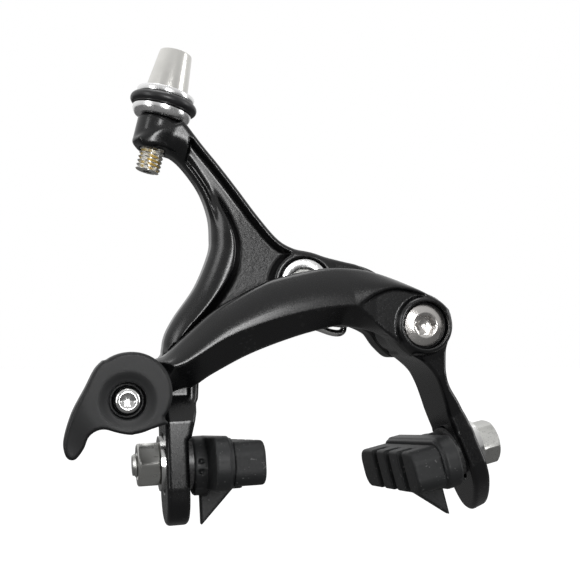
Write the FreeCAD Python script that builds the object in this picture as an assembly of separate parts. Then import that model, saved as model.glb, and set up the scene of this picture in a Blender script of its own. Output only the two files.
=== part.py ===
# Dual-pivot side-pull rim brake caliper, millimetres.
# +X to the rider's left when seen from the front, +Y rearwards to the frame, +Z up.
# The origin is on the mounting bolt's axis, at the face that bears on the frame.
import FreeCAD, Part
import math
import os

V = FreeCAD.Vector
os.makedirs("parts", exist_ok=True)

# ---- driving dimensions -------------------------------------------------------------------
SIDE_PIVOT = (27.5, -10.3)          # x, z of the front arm's pivot
BOLT_R = 3.0                       # M6 mounting bolt
BOLT_PIVOT_R = 3.4                 # its thicker stretch in front of the frame
BOLT_TIP_Y = 20.0
WASHER_Y = -2.5                    # front face of the serrated washer
BRIDGE_Y = -9.0                    # front face of the bridge
REAR_ARM_Y = (-21.0, -9.5)         # front and rear face of the rear arm's pivot boss
PLATE_Y = (-20.0, -11.5)           # front and rear face of the rear arm's plate
WEB_Y = -16.2                      # floor of the rear arm's front pocket
CENTRE_BOSS_R = 7.6
FRONT_ARM_Y = (-30.5, -22.0)       # front and rear face of the front arm's arch
ARCH_MID_Y = -26.5                 # where the arch's front bevels meet its full outline
SIDE_BOSS_Y = (-31.0, -9.5)
SIDE_BOSS_R = 7.4
RUN_FIT = 0.05                     # radial clearance of the pivots
LEG_Y = (-24.0, -8.0)              # front and rear edge of the shoe straps
LEG_MID_Y = -16.0
SLOT_R = 3.2                       # half the slot's width, for an M6 stud
SLOT_TRAVEL = 3.5                  # shoe height adjustment each way
LEFT_LEG_TILT = 2.5                # degrees, lower end outwards
RIGHT_LEG_TILT = 24.0
LEFT_STUD = (-31.3, -43.2)         # x, z where the stud crosses the strap's middle
RIGHT_STUD = (42.4, -41.4)
LEFT_STRAP = 5.4                   # strap thickness
RIGHT_STRAP = 4.8
RIGHT_STUD_TILT = 13.5
LEFT_SHOE_PITCH = -4.0             # near end of each shoe raised
RIGHT_SHOE_PITCH = -4.0
SHOE_BOSS = 3.2                    # round boss between the washer and the backing
SHOE_BOSS_R = 7.0
SHOE_BOSS_DROP = 1.1               # the boss and backing sit a little below the stud
BACKING_DROP = 0.5
SHOE_BACKING = 3.7
SHOE_RUBBER = 8.0
SHOE_SHIFT = 3.0                   # shoe's middle behind the stud
RIGHT_SPACER = 2.4                 # middle of the wedge washer inside the right strap
RIGHT_WEDGE = 1.3                  # middle of the wedge washer outside the right strap
ADJUSTER_FOOT = (-38.3, 27.5)      # x, z of the lower end of the threaded barrel
ADJUSTER_TILT = 12.9               # degrees from vertical, top towards +X
ADJUSTER_Y = -15.5
LEVER_AXIS = (-44.1, -27.6)
DRIVE_PIN = (15.4, -5.2)           # where the rear arm lifts the front arm
SPRING_X = 14.2
SPRING_Y = -5.75
WIRE_R = 0.9
CABLE_BORE_R = 1.1
HOUSING_R = 2.6                    # socket for 5 mm cable housing
SHOE_LENGTH = 44.0
BACKING_HEIGHT = 12.6
PAD_HEIGHT = 10.2
PAD_LOW = -5.8                     # lower edge of the rubber below the stud
FIN_DROP = 8.6
FIN_Y = -15.0                      # near face of the wheel-guide fin
FIN_THICKNESS = 3.0
RIB_PITCH = 10.0
LEFT_SPACER = 1.2                  # washers between strap and shoe
SHOE_WASHER_R = 6.5
NUT_THICKNESS = 5.2
LEFT_NUT_TURN = 6.0
RIGHT_NUT_TURN = 8.0


# ---- small helpers ------------------------------------------------------------------------
def save(shape, name):
    """Write one node, as a single solid or a group of separate solids."""
    clean = shape.removeSplitter()
    for solid in clean.Solids:
        if not solid.isValid():
            print("invalid", name)
    print(name, len(clean.Solids), round(clean.Volume))
    clean.exportStep("parts/" + name + ".step")


def at(x, z, y=0.0):
    return V(x, y, z)


def rod(radius, y0, y1, centre=(0.0, 0.0)):
    """Cylinder along +Y from y0 to y1."""
    return Part.makeCylinder(radius, y1 - y0, at(centre[0], centre[1], y0), V(0, 1, 0))


def ring(outer, inner, y0, y1, centre=(0.0, 0.0)):
    return rod(outer, y0, y1, centre).cut(rod(inner, y0 - 1, y1 + 1, centre))


def smooth(points, y):
    """Smooth edge through points in the XZ plane at depth y."""
    curve = Part.BSplineCurve()
    curve.interpolate([at(x, z, y) for x, z in points])
    return curve.toShape()


def slab(stretches, y0, y1):
    """Closed XZ outline of smooth stretches, joined by straight edges, between two depths."""
    edges = []
    for index, stretch in enumerate(stretches):
        following = stretches[(index + 1) % len(stretches)]
        if len(stretch) == 2:
            edges.append(Part.makeLine(at(*stretch[0], y0), at(*stretch[1], y0)))
        elif len(stretch) > 2:
            edges.append(smooth(stretch, y0))
        if stretch[-1] != following[0]:
            edges.append(Part.makeLine(at(*stretch[-1], y0), at(*following[0], y0)))
    return Part.Face(Part.Wire(edges)).extrude(V(0, y1 - y0, 0))


def outline_wire(stretches, y):
    """Closed XZ wire of smooth stretches joined by straight edges."""
    edges = []
    for index, stretch in enumerate(stretches):
        following = stretches[(index + 1) % len(stretches)]
        edges.append(smooth(stretch, y))
        edges.append(Part.makeLine(at(*stretch[-1], y), at(*following[0], y)))
    return Part.Wire(edges)


def band(front, y0, back, y1):
    """Solid between two outlines at two depths, with straight sloping sides."""
    return Part.makeLoft([outline_wire(front, y0), outline_wire(back, y1)], True, True)


def hexagon(across_flats, length, bore):
    """Hexagonal prism along +X from the origin, chamfered at its far end."""
    radius = across_flats / math.sqrt(3)
    corners = []
    for k in range(7):
        angle = math.radians(60 * k)
        corners.append(V(0, radius * math.cos(angle), radius * math.sin(angle)))
    prism = Part.Face(Part.makePolygon(corners)).extrude(V(length, 0, 0))
    chamfer = Part.makeCone(radius + length, radius * 0.93, length, V(0, 0, 0), V(1, 0, 0))
    prism = prism.common(chamfer)
    return prism.cut(Part.makeCylinder(bore, length + 2, V(-1, 0, 0), V(1, 0, 0)))


def washer_x(outer, inner, thickness):
    """Flat washer along +X from the origin."""
    disc = Part.makeCylinder(outer, thickness, V(0, 0, 0), V(1, 0, 0))
    return disc.cut(Part.makeCylinder(inner, thickness + 2, V(-1, 0, 0), V(1, 0, 0)))


def turned(shape, axis, degrees, centre=V(0, 0, 0)):
    result = shape.copy()
    result.rotate(centre, axis, degrees)
    return result


def moved(shape, offset):
    result = shape.copy()
    result.translate(offset)
    return result


# ---- mounting bolt, bridge and their small parts ------------------------------------------
def mounting_bolt():
    """M6 bolt with a shoulder that is held in the bridge."""
    bolt = rod(BOLT_R, -1.0, BOLT_TIP_Y).fuse(rod(BOLT_PIVOT_R, -20.6, 0.0))
    bolt = bolt.fuse(rod(4.4, BRIDGE_Y, WASHER_Y))
    tip = Part.makeCone(BOLT_R + 3, BOLT_R - 0.8, 3.8, V(0, BOLT_TIP_Y - 3.8, 0), V(0, 1, 0))
    shank = rod(20, -30, BOLT_TIP_Y - 3.8)
    return bolt.common(tip.fuse(shank))


def serrated_washer():
    """Toothed washer that grips the frame."""
    washer = ring(9.0, BOLT_PIVOT_R + RUN_FIT, WASHER_Y, 0.0)
    for k in range(24):
        tooth_gap = Part.makeBox(4.0, 0.7, 0.9, V(5.6, -0.7, -0.45))
        washer = washer.cut(turned(tooth_gap, V(0, 1, 0), 15 * k))
    return washer


def pivot_bridge():
    """Fixed plate that carries both pivots."""
    px, pz = SIDE_PIVOT
    top = [(-6.0, 5.2), (2.0, 7.9), (9.0, 7.5), (15.8, 6.4), (22.0, 4.3), (29.0, -0.9), (33.4, -5.6)]
    bottom = [(px + 2.0, pz - 7.6), (24.6, -17.8), (21.8, -14.2), (18.8, -13.0), (12.8, -10.8),
              (6.0, -6.6), (-5.5, -5.8)]
    plate = slab([top, bottom], BRIDGE_Y, WASHER_Y)
    plate = plate.fuse(rod(7.9, BRIDGE_Y, WASHER_Y))
    plate = plate.fuse(rod(7.9, BRIDGE_Y, WASHER_Y, SIDE_PIVOT))
    plate = plate.cut(rod(4.4, -20, 20))
    plate = plate.cut(rod(3.5, -20, 20, SIDE_PIVOT))
    plate = plate.cut(Part.makeCylinder(1.0, 8.0, at(SPRING_X, -14.0, SPRING_Y), V(0, 0, 1)))
    return plate.cut(Part.makeCylinder(2.0, 24.0, at(SPRING_X, -8.6, SPRING_Y), V(0, 0, 1)))


def centring_screw():
    """Socket grub screw that bears on the spring's hooked end to even the arms' return."""
    screw = Part.makeCylinder(2.0, 8.0, at(SPRING_X, -8.6, SPRING_Y), V(0, 0, 1))
    socket = hexagon(2.0, 3.0, 0.01)
    socket = moved(turned(socket, V(0, 1, 0), 90), at(SPRING_X, 0.4, SPRING_Y))
    return screw.cut(socket)


def return_spring():
    """Bent wire from the bridge, under the mounting bolt, to the rear arm's block."""
    route = [(SPRING_X, -8.8), (SPRING_X, -12.2), (12.6, -12.9), (7.0, -10.5), (0.0, -8.9),
             (-9.0, -9.6), (-23.6, -12.6)]
    shape = None
    for (x0, z0), (x1, z1) in zip(route, route[1:]):
        run = V(x1 - x0, 0, z1 - z0)
        piece = Part.makeCylinder(WIRE_R, run.Length, at(x0, z0, SPRING_Y), run)
        if (x1, z1) != route[-1]:
            piece = piece.fuse(Part.makeSphere(WIRE_R, at(x1, z1, SPRING_Y)))
        shape = piece if shape is None else shape.fuse(piece)
    return shape


def spring_block():
    """Plastic shoe on the back of the rear arm; the spring's free end slides under it."""
    block = Part.makeBox(7.0, 7.4, 5.6, V(-25.0, -11.5, -13.2))
    groove = Part.makeBox(20.0, 2.2, 2.6, V(-34.0, SPRING_Y - 1.1, -13.7))
    groove = turned(groove, V(0, 1, 0), -10.9, V(-21.5, 0, -12.2))
    return block.cut(groove)


def side_pivot_bolt():
    """Large shallow-cone head with a 5 mm hexagonal socket, threaded into the bridge."""
    px, pz = SIDE_PIVOT
    head = Part.makeCylinder(5.1, 1.4, at(px, pz, -29.5), V(0, 1, 0))
    head = head.fuse(Part.makeCone(3.2, 5.1, 0.8, at(px, pz, -30.3), V(0, 1, 0)))
    bolt = head.fuse(rod(3.5, -28.5, WASHER_Y, SIDE_PIVOT))
    socket = hexagon(5.0, 4.0, 0.01)
    socket = turned(socket, V(0, 0, 1), 90)
    return bolt.cut(moved(socket, at(px, pz, -31.0)))


# ---- rear arm: turns on the mounting bolt ---------------------------------------------------
def strap(stud, thickness, tilt, height, profile, top_outline):
    """Shoe strap: a tilted plate up to a height above the stud, then its shank."""
    half = thickness / 2
    plate = Part.makeBox(thickness, 40, height + 30, V(-half, LEG_MID_Y - 20, -30))
    plate = turned(plate, V(0, 1, 0), -tilt)
    plate = moved(plate, V(stud[0], 0, stud[1]))
    return plate.fuse(top_outline).common(profile)


def slot_cutter(stud, tilt):
    """Long hole for the shoe stud, through the strap."""
    reach = SLOT_TRAVEL + 0.5
    cutter = Part.makeBox(40, 2 * SLOT_R, 2 * reach, V(-20, -SLOT_R, -reach))
    for z in (-reach, reach):
        cutter = cutter.fuse(Part.makeCylinder(SLOT_R, 40, V(-20, 0, z), V(1, 0, 0)))
    cutter = turned(cutter, V(0, 1, 0), -tilt)
    return moved(cutter, V(stud[0], LEG_MID_Y, stud[1]))


def side_profile(x0, x1, lower_end, top):
    """Strap's outline seen from the side: a smooth lower end, then straight edges, as (y, z)."""
    curve = Part.BSplineCurve()
    curve.interpolate([V(x0, y, z) for y, z in lower_end])
    edges = [curve.toShape()]
    corners = [lower_end[-1]] + top + [lower_end[0]]
    for (ya, za), (yb, zb) in zip(corners, corners[1:]):
        edges.append(Part.makeLine(V(x0, ya, za), V(x0, yb, zb)))
    return Part.Face(Part.Wire(edges)).extrude(V(x1 - x0, 0, 0))


def adjuster_rod(radius, s0, s1, tip_radius=None):
    """Cylinder or cone on the adjuster's axis, between distances from its foot."""
    tilt = math.radians(ADJUSTER_TILT)
    direction = V(math.sin(tilt), 0, math.cos(tilt))
    start = at(ADJUSTER_FOOT[0], ADJUSTER_FOOT[1], ADJUSTER_Y) + direction * s0
    if tip_radius is None:
        return Part.makeCylinder(radius, s1 - s0, start, direction)
    return Part.makeCone(radius, tip_radius, s1 - s0, start, direction)


def rear_arm():
    """Forged arm with the cable adjuster's boss, a pocketed web and the left shoe strap."""
    left = [(-41.2, 34.4), (-39.4, 32.3), (-34.6, 31.6), (-31.6, 30.1), (-28.3, 26.6),
            (-25.3, 22.1), (-23.3, 16.6), (-22.8, 11.6), (-23.2, 7.3), (-26.5, -0.9),
            (-31.6, -8.5), (-34.0, -13.6), (-34.2, -18.6), (-33.9, -27.6)]
    lower = [(-28.0, -27.6), (-26.6, -21.6), (-20.6, -15.1), (-10.6, -11.5), (-2.6, -10.4)]
    reach = [(6.4, -9.9), (12.4, -10.4), (18.0, -9.0), (19.6, -5.2), (18.4, 1.8), (14.3, 4.7),
             (9.8, 5.8)]
    upper = [(6.0, 6.6), (3.0, 7.0), (-2.3, 8.5), (-6.7, 10.8), (-11.8, 16.4), (-16.9, 22.9),
             (-21.6, 28.7), (-25.7, 33.5), (-30.2, 39.2)]
    plate = slab([left, lower, reach, upper], *PLATE_Y)
    pocket = [(-26.2, 31.8), (-21.2, 26.0), (-12.0, 14.6), (-6.8, 9.6)]
    pocket_left = [(-7.8, -0.6), (-14.2, -7.2), (-16.8, -0.8), (-15.6, 6.4), (-16.0, 13.4),
                   (-19.2, 19.6), (-24.2, 26.0), (-28.2, 30.0)]
    plate = plate.cut(slab([pocket, pocket_left], PLATE_Y[0] - 1, WEB_Y))
    arm = plate.fuse(rod(CENTRE_BOSS_R, *REAR_ARM_Y))
    arm = arm.fuse(adjuster_rod(5.25, 5.3, 12.7))

    lower_end = [(LEG_Y[1], -48.0), (-8.6, -52.8), (-11.0, -56.4), (-16.0, -58.0),
                 (-20.6, -56.2), (-23.2, -52.8), (LEG_Y[0], -48.6)]
    profile = side_profile(-60, 0, lower_end,
                           [(LEG_Y[0], -33.0), (-20.8, -27.0), (-20.8, -17.0), (-11.5, -17.0),
                            (-11.5, -21.0), (LEG_Y[1], -28.0)])
    neck = slab([[(-33.4, -17.0), (-33.9, -28.0)], [(-28.0, -28.0), (-26.4, -17.0)]], -30, 0)
    arm = arm.fuse(strap(LEFT_STUD, LEFT_STRAP, LEFT_LEG_TILT, 26, profile, neck))
    arm = arm.cut(slot_cutter(LEFT_STUD, LEFT_LEG_TILT))

    arm = arm.cut(rod(4.0, -30, 0))
    arm = arm.cut(rod(6.4, -30, -15.5))
    arm = arm.cut(adjuster_rod(3.15, -10, 30)).cut(adjuster_rod(7.8, 12.7, 30))
    return arm.cut(rod(1.2, -30, -13.0, DRIVE_PIN))


def drive_roller():
    """Hardened sleeve on the drive pin; it lifts the front arm."""
    return ring(2.0, 1.2, -25.2, -20.1, DRIVE_PIN)


def centre_lock_nut():
    """Round nut with two wrench slots, in the counterbore of the rear arm."""
    nut = ring(6.2, BOLT_PIVOT_R, -20.4, -17.0)
    nut = nut.fuse(ring(5.0, BOLT_PIVOT_R, -17.0, -16.1))
    slot = Part.makeBox(20, 1.4, 1.8, V(-10, -20.5, -0.9))
    return nut.cut(slot.cut(rod(4.2, -25, -15)))


# ---- barrel adjuster --------------------------------------------------------------------------
def barrel_adjuster():
    """Keyed M6 barrel with a tapered head and a socket for the cable housing."""
    barrel = adjuster_rod(3.0, -0.6, 20.0).fuse(adjuster_rod(5.15, 19.8, 30.0, 4.0))
    barrel = barrel.cut(adjuster_rod(CABLE_BORE_R, -2, 31))
    return barrel.cut(adjuster_rod(HOUSING_R, 22.0, 31))


def adjuster_nut():
    """Spool-shaped thumb nut: two flanges with a groove for the rubber ring."""
    nut = adjuster_rod(6.3, 12.8, 14.2, 7.2).fuse(adjuster_rod(7.2, 14.2, 15.2))
    nut = nut.fuse(adjuster_rod(5.6, 15.2, 18.0)).fuse(adjuster_rod(7.1, 18.0, 19.6))
    return nut.cut(adjuster_rod(3.04, 0, 30))


def adjuster_grip_ring():
    """Rubber O-ring in the thumb nut's groove."""
    tilt = math.radians(ADJUSTER_TILT)
    direction = V(math.sin(tilt), 0, math.cos(tilt))
    centre = at(ADJUSTER_FOOT[0], ADJUSTER_FOOT[1], ADJUSTER_Y) + direction * 16.6
    return Part.makeTorus(6.95, 1.3, centre, direction)


# ---- front arm: turns on the side pivot -----------------------------------------------------------
def front_arm():
    """Forged arch with the release lever's eye, the side pivot's boss and the right strap."""
    px, pz = SIDE_PIVOT
    top = [(-36.9, -18.4), (-34.8, -17.5), (-30.6, -13.6), (-24.2, -7.8), (-18.8, -4.2),
           (-13.3, -1.2), (-8.4, 0.8), (1.5, 3.1), (9.4, 3.4), (16.0, 2.5), (24.8, -0.5),
           (31.7, -4.1), (34.8, -7.4)]
    bottom = [(px - 3.0, pz - 7.3), (17.7, -12.3), (9.9, -10.6), (6.2, -10.6), (-3.2, -13.0),
              (-14.5, -17.2), (-23.6, -22.0), (-28.0, -24.8), (-33.3, -26.4), (-40.6, -33.1)]
    ridge_top = [(-36.6, -19.2), (-34.8, -18.6), (-31.0, -15.6), (-25.0, -10.2), (-19.4, -6.4),
                 (-13.8, -3.4), (-8.8, -1.3), (0.2, 1.0), (8.6, 1.5), (15.4, 0.7), (24.0, -2.2),
                 (30.2, -5.4), (32.8, -8.2)]
    ridge_bottom = [(px - 2.0, pz - 5.6), (18.6, -9.4), (10.3, -5.9), (7.8, -5.9), (0.5, -6.9),
                    (-6.8, -8.6), (-14.1, -10.8), (-21.3, -13.6), (-28.3, -18.2), (-36.0, -20.4)]
    arch = slab([top, bottom], ARCH_MID_Y, FRONT_ARM_Y[1])
    arch = arch.fuse(band([ridge_top, ridge_bottom], FRONT_ARM_Y[0], [top, bottom], ARCH_MID_Y))
    arch = arch.fuse(rod(7.2, -29.2, FRONT_ARM_Y[1], LEVER_AXIS))
    arch = arch.cut(rod(11.4, -35, -29.2, LEVER_AXIS))
    arm = arch.fuse(rod(SIDE_BOSS_R, -28.6, SIDE_BOSS_Y[1], SIDE_PIVOT))
    arm = arm.fuse(rod(6.4, SIDE_BOSS_Y[0], -20, SIDE_PIVOT))

    lower_end = [(-5.4, -48.0), (-4.8, -53.0), (-6.6, -57.0), (-11.0, -57.8), (-16.4, -55.0),
                 (-21.6, -50.2), (LEG_Y[0], -45.6)]
    profile = side_profile(0, 60, lower_end,
                           [(LEG_Y[0], -32.0), (-27.6, -22.0), (-28.6, -10.0), (-9.6, -10.0),
                            (-9.6, -20.0), (-7.4, -30.0), (-7.4, -40.0)])
    inner = [(25.4, -17.2), (29.7, -20.7), (32.0, -23.7), (33.9, -27.4), (36.4, -33.6)]
    outer = [(40.4, -32.6), (37.5, -28.4), (35.0, -25.0), (34.2, -21.8), (34.0, -18.0),
             (34.2, -12.0)]
    shank = slab([inner, outer], -40, 0)
    arm = arm.fuse(strap(RIGHT_STUD, RIGHT_STRAP, RIGHT_LEG_TILT, 11.5, profile, shank))
    arm = arm.cut(slot_cutter(RIGHT_STUD, RIGHT_LEG_TILT))

    arm = arm.cut(rod(4.6, -40, 0, SIDE_PIVOT))
    arm = arm.cut(rod(5.75, -40, -28.0, SIDE_PIVOT))
    arm = arm.cut(rod(4.0 + RUN_FIT, -40, -15, LEVER_AXIS))
    dx, dz = DRIVE_PIN
    for shift in (0.0, 0.9):
        arm = arm.cut(rod(2.3, -25.6, -20, (dx - shift, dz)))
    return arm.cut(Part.makeBox(0.9, 6, 4.6, V(dx - 0.9, -25.6, dz - 2.3)))


# ---- quick release and cable anchor -------------------------------------------------------------
def release_lever():
    """Curved plastic thumb lever with a round head and a recess for its screw."""
    lx, lz = LEVER_AXIS
    tail = [(-49.4, -18.8), (-51.2, -20.8), (-53.2, -24.8), (-56.0, -30.4), (-57.6, -36.4),
            (-57.0, -39.8), (-55.0, -40.3), (-53.4, -38.0), (-52.2, -35.2), (-49.8, -33.8),
            (-46.4, -34.2), (-43.0, -34.8)]
    body = slab([tail, [(-43.0, -34.8), (-42.0, -22.0)]], -36.6, -29.3)
    body = body.fuse(rod(9.0, -36.6, -29.3, (lx + 0.8, lz + 1.7)))
    tab = slab([[(-38.6, -30.6), (-34.7, -32.7)], [(-38.0, -34.2), (-43.0, -34.8)]], -34.5, -29.3)
    body = body.fuse(tab)
    body = body.cut(rod(4.0, -40, -34.6, LEVER_AXIS))
    return body.cut(rod(2.55, -40, -20, LEVER_AXIS))


def release_cam():
    """Post through the front arm's eye, with an off-centre flange that holds the cable."""
    lx, lz = LEVER_AXIS
    ax, az = lx - 1.5, lz - 2.2
    cam = rod(4.0, -29.3, -21.5, LEVER_AXIS).fuse(rod(2.5, -32.0, -29.3, LEVER_AXIS))
    cam = cam.fuse(rod(5.6, -21.7, -18.6, (lx - 0.9, lz - 1.3)))
    cam = cam.cut(rod(2.0, -33, -25.5, LEVER_AXIS))
    cam = cam.cut(rod(2.5, -21.5, -18, (ax, az)))
    groove = Part.makeCylinder(0.8, 20, V(ax - 3.6, -18.6, az - 10), V(0.0, 0, 1))
    return cam.cut(groove)


def lever_screw():
    """Button-head screw that holds the lever to the cam."""
    lx, lz = LEVER_AXIS
    head = Part.makeCone(2.2, 3.0, 0.8, at(lx, lz, -36.6), V(0, 1, 0))
    head = head.fuse(rod(3.0, -35.8, -34.6, LEVER_AXIS))
    screw = head.fuse(rod(2.0, -34.6, -26.0, LEVER_AXIS))
    socket = turned(hexagon(2.5, 2.0, 0.01), V(0, 0, 1), 90)
    return screw.cut(moved(socket, at(lx, lz, -37.0)))


def cable_anchor_bolt():
    """Hexagon bolt that clamps the cable to the cam's flange."""
    ax, az = LEVER_AXIS[0] - 1.5, LEVER_AXIS[1] - 2.2
    head = turned(hexagon(8.0, 4.0, 0.01), V(0, 0, 1), 90)
    bolt = moved(head, at(ax, az, -16.2))
    socket = rod(2.0, -14.2, -12.0, (ax, az))
    return bolt.fuse(rod(2.45, -21.4, -13.0, (ax, az))).cut(socket)


# ---- brake shoes -----------------------------------------------------------------------------------
def shoe_backing():
    """Moulded carrier in the shoe's own frame: +X to the rim, +Y along it, +Z up."""
    start = SHOE_SHIFT - SHOE_LENGTH / 2
    low = -BACKING_HEIGHT / 2 - BACKING_DROP
    body = Part.makeBox(SHOE_BACKING, SHOE_LENGTH, BACKING_HEIGHT, V(SHOE_BOSS, start, low))
    corner = turned(Part.makeBox(12, 2.4, 2.4, V(0, -1.2, -1.2)), V(1, 0, 0), 45)
    for y in (start, start + SHOE_LENGTH):
        for z in (low, low + BACKING_HEIGHT):
            body = body.cut(moved(corner, V(0, y, z)))
    boss = Part.makeCylinder(SHOE_BOSS_R, SHOE_BOSS, V(0, 0, -SHOE_BOSS_DROP), V(1, 0, 0))
    body = body.fuse(boss)
    fin_y = FIN_Y - LEG_MID_Y
    fin_x = SHOE_BOSS - 1.1
    corners = [V(fin_x, fin_y, low + 2), V(fin_x, fin_y, low - FIN_DROP),
               V(fin_x + FIN_DROP + 2, fin_y, low + 2)]
    fin = Part.makePolygon(corners + corners[:1])
    body = body.fuse(Part.Face(fin).extrude(V(0, FIN_THICKNESS, 0)))
    return body.cut(Part.makeCylinder(3.0, 4.0, V(-1, 0, 0), V(1, 0, 0)))


def shoe_pad():
    """Rubber block with cross grooves in its braking face."""
    start = SHOE_SHIFT - SHOE_LENGTH / 2 + 0.8
    length = SHOE_LENGTH - 1.6
    back = SHOE_BOSS + SHOE_BACKING
    face = back + SHOE_RUBBER
    block = Part.makeBox(SHOE_RUBBER, length, PAD_HEIGHT, V(back, start, PAD_LOW))
    corner = turned(Part.makeBox(3.4, 3.4, 30, V(-1.7, -1.7, -15)), V(0, 0, 1), 45)
    for y in (start, start + length):
        block = block.cut(moved(corner, V(face, y, 0)))
    for k in range(3):
        y = start + 9.6 + RIB_PITCH * k
        block = block.cut(Part.makeBox(5.0, 2.8, 20, V(face - 3.6, y - 1.4, -10)))
    return block.cut(shoe_backing())


def left_place(shape, pitch=0.0):
    """From the left shoe's own frame to the caliper's: pitched about the stud, then tilted."""
    placed = turned(shape, V(1, 0, 0), pitch)
    placed = turned(placed, V(0, 1, 0), -LEFT_LEG_TILT)
    reach = LEFT_STRAP / 2 + LEFT_SPACER
    tilt = math.radians(LEFT_LEG_TILT)
    return moved(placed, V(LEFT_STUD[0] + reach * math.cos(tilt), LEG_MID_Y,
                           LEFT_STUD[1] + reach * math.sin(tilt)))


def right_place(shape, pitch=0.0):
    """From the right shoe's own frame, mirrored, to the caliper's."""
    placed = turned(shape.mirror(V(0, 0, 0), V(1, 0, 0)), V(1, 0, 0), pitch)
    placed = turned(placed, V(0, 1, 0), -RIGHT_STUD_TILT)
    reach = RIGHT_STRAP / 2 + RIGHT_SPACER
    tilt = math.radians(RIGHT_STUD_TILT)
    return moved(placed, V(RIGHT_STUD[0] - reach * math.cos(tilt), LEG_MID_Y,
                           RIGHT_STUD[1] - reach * math.sin(tilt)))


def shoe_stud(length):
    """M6 stud, moulded into the shoe and reaching out along -X."""
    return Part.makeCylinder(3.0, length, V(3.0, 0, 0), V(-1, 0, 0))


def strap_slice(stud, tilt, thickness):
    """Thick block that fills the strap's space, for trimming wedge washers."""
    block = Part.makeBox(thickness, 60, 80, V(-thickness / 2, -30, -40))
    block = turned(block, V(0, 1, 0), -tilt)
    return moved(block, V(stud[0], LEG_MID_Y, stud[1]))


def build():
    """Write every sub-part."""
    save(mounting_bolt(), "mounting_bolt")
    save(serrated_washer(), "serrated_washer")
    save(pivot_bridge(), "pivot_bridge")
    save(centring_screw(), "centring_screw")
    save(return_spring(), "return_spring")
    save(spring_block(), "spring_block")
    save(side_pivot_bolt(), "side_pivot_bolt")
    save(ring(4.6, 3.5 + RUN_FIT, -27.9, SIDE_BOSS_Y[1], SIDE_PIVOT), "side_pivot_bush")
    save(ring(7.6, 3.6, -9.4, -9.0, SIDE_PIVOT), "side_pivot_washer")
    save(ring(7.6, BOLT_PIVOT_R + RUN_FIT, -9.4, -9.0), "centre_thrust_washer")
    save(ring(6.0, BOLT_PIVOT_R + RUN_FIT, -16.0, -15.6), "lock_nut_washer")
    save(centre_lock_nut(), "centre_lock_nut")
    save(ring(4.0, BOLT_PIVOT_R + RUN_FIT, -15.5, REAR_ARM_Y[1]), "centre_bush")
    save(rear_arm(), "rear_arm")
    save(rod(1.2, -25.2, -13.0, DRIVE_PIN), "drive_pin")
    save(drive_roller(), "drive_roller")
    save(barrel_adjuster(), "barrel_adjuster")
    save(adjuster_nut(), "adjuster_nut")
    save(adjuster_grip_ring(), "adjuster_grip_ring")
    save(front_arm(), "front_arm")
    save(release_lever(), "release_lever")
    save(release_cam(), "release_cam")
    save(lever_screw(), "lever_screw")
    save(cable_anchor_bolt(), "cable_anchor_bolt")
    anchor = (LEVER_AXIS[0] - 1.5, LEVER_AXIS[1] - 2.2)
    save(ring(4.9, 2.55, -17.8, -16.2, anchor), "cable_clamp_washer")

    left_outer = LEFT_SPACER + LEFT_STRAP + 1.0
    save(left_place(shoe_backing(), LEFT_SHOE_PITCH), "left_shoe_backing")
    save(left_place(shoe_pad(), LEFT_SHOE_PITCH), "left_brake_pad")
    save(left_place(shoe_stud(left_outer + 6.3)), "left_shoe_stud")
    inner = moved(washer_x(SHOE_WASHER_R, 3.1, LEFT_SPACER), V(-LEFT_SPACER, 0, 0))
    save(left_place(inner), "left_inner_washer")
    outer = moved(washer_x(SHOE_WASHER_R, 3.1, 1.0), V(-left_outer, 0, 0))
    save(left_place(outer), "left_outer_washer")
    nut = hexagon(10.0, NUT_THICKNESS, 3.03).mirror(V(0, 0, 0), V(1, 0, 0))
    nut = moved(nut, V(-left_outer, 0, 0))
    save(left_place(nut, -LEFT_NUT_TURN), "left_shoe_nut")

    right_outer = RIGHT_SPACER + RIGHT_STRAP + RIGHT_WEDGE
    save(right_place(shoe_backing(), RIGHT_SHOE_PITCH), "right_shoe_backing")
    save(right_place(shoe_pad(), RIGHT_SHOE_PITCH), "right_brake_pad")
    save(right_place(shoe_stud(right_outer + 6.3)), "right_shoe_stud")
    filled = strap_slice(RIGHT_STUD, RIGHT_LEG_TILT, RIGHT_STRAP)
    inner = right_place(moved(washer_x(SHOE_WASHER_R, 3.1, 6.0), V(-6.0, 0, 0))).cut(filled)
    save(min(inner.Solids, key=lambda solid: solid.CenterOfMass.x), "right_inner_washer")
    outer = right_place(moved(washer_x(SHOE_WASHER_R, 3.1, 4.0), V(-right_outer, 0, 0)))
    outer = outer.cut(filled)
    save(max(outer.Solids, key=lambda solid: solid.CenterOfMass.x), "right_outer_washer")
    nut = hexagon(10.0, NUT_THICKNESS, 3.03).mirror(V(0, 0, 0), V(1, 0, 0))
    nut = moved(nut, V(-right_outer, 0, 0))
    save(right_place(nut, RIGHT_NUT_TURN), "right_shoe_nut")


build()
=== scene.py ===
"""A dual-pivot rim brake caliper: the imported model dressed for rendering."""
import math

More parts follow.
